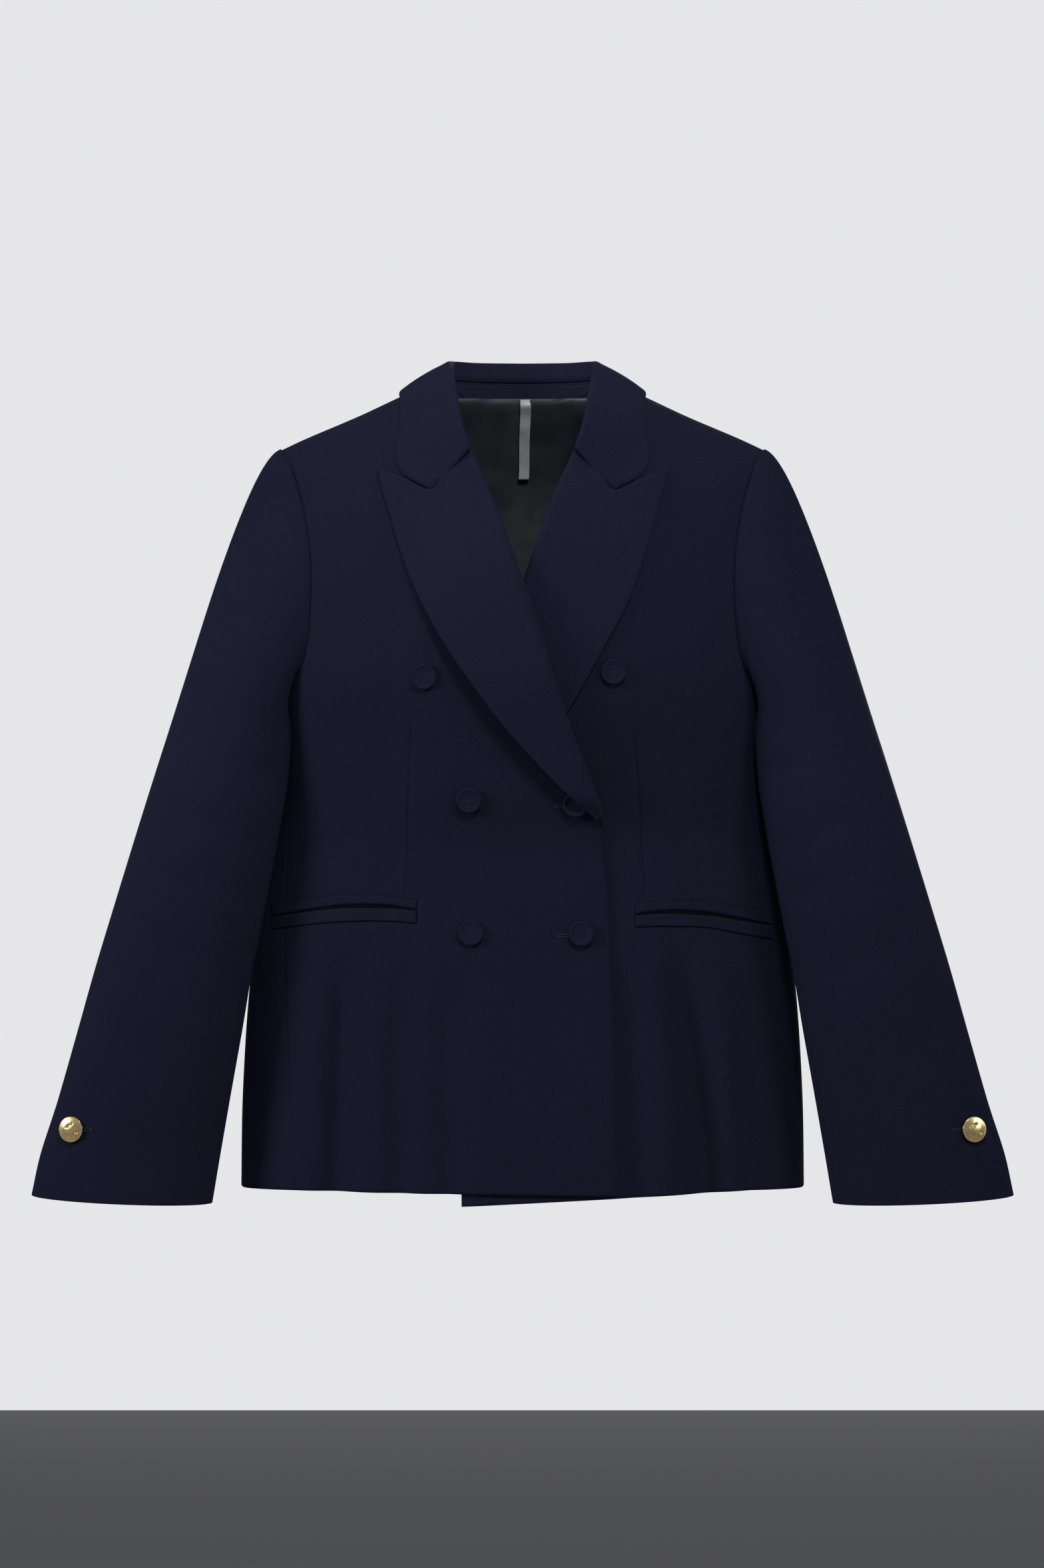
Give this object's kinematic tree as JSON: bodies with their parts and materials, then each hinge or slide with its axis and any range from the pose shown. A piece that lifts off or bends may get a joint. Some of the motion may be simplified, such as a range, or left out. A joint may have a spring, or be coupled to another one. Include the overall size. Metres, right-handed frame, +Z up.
{
  "type": "double breasted blazer",
  "caption": "Hollow double breasted blazer with peak lapels, turned-down collar, welt pockets, covered front buttons and domed cuff buttons.",
  "frame": {"origin": "midway between the two shoulders, on the plane of the shoulder seams, where the collar crosses them", "axes": "+X to the wearer's left, +Y to the back, +Z up; the front faces -Y"},
  "size_m": [0.7878, 0.207, 0.6806],
  "materials": {
    "wool_cloth": "navy wool suiting, matt with a slight sheen",
    "lining": "smooth dark lining twill",
    "satin": "pale woven satin, bare",
    "covered_button": "button mould covered with the same wool",
    "cuff_brass": "domed, softly dented gilt brass"
  },
  "bodies": {
    "root": {"right_front": "wool_cloth", "left_front": "wool_cloth", "right_side_panel": "wool_cloth", "left_side_panel": "wool_cloth", "right_back": "wool_cloth", "left_back": "wool_cloth", "right_upper_sleeve": "wool_cloth", "right_under_sleeve": "wool_cloth", "left_upper_sleeve": "wool_cloth", "left_under_sleeve": "wool_cloth", "right_lapel": "wool_cloth", "left_lapel": "wool_cloth", "collar_stand": "wool_cloth", "collar_fall": "wool_cloth", "right_upper_welt": "wool_cloth", "right_lower_welt": "wool_cloth", "left_upper_welt": "wool_cloth", "left_lower_welt": "wool_cloth", "right_lining_back": "lining", "left_lining_back": "lining", "label_strip": "satin", "top_layer_upper_button": "covered_button", "under_layer_upper_button": "covered_button", "middle_outer_button": "covered_button", "middle_inner_button": "covered_button", "lower_outer_button": "covered_button", "lower_inner_button": "covered_button", "right_cuff_button": "cuff_brass", "left_cuff_button": "cuff_brass"}
  },
  "joints": []
}
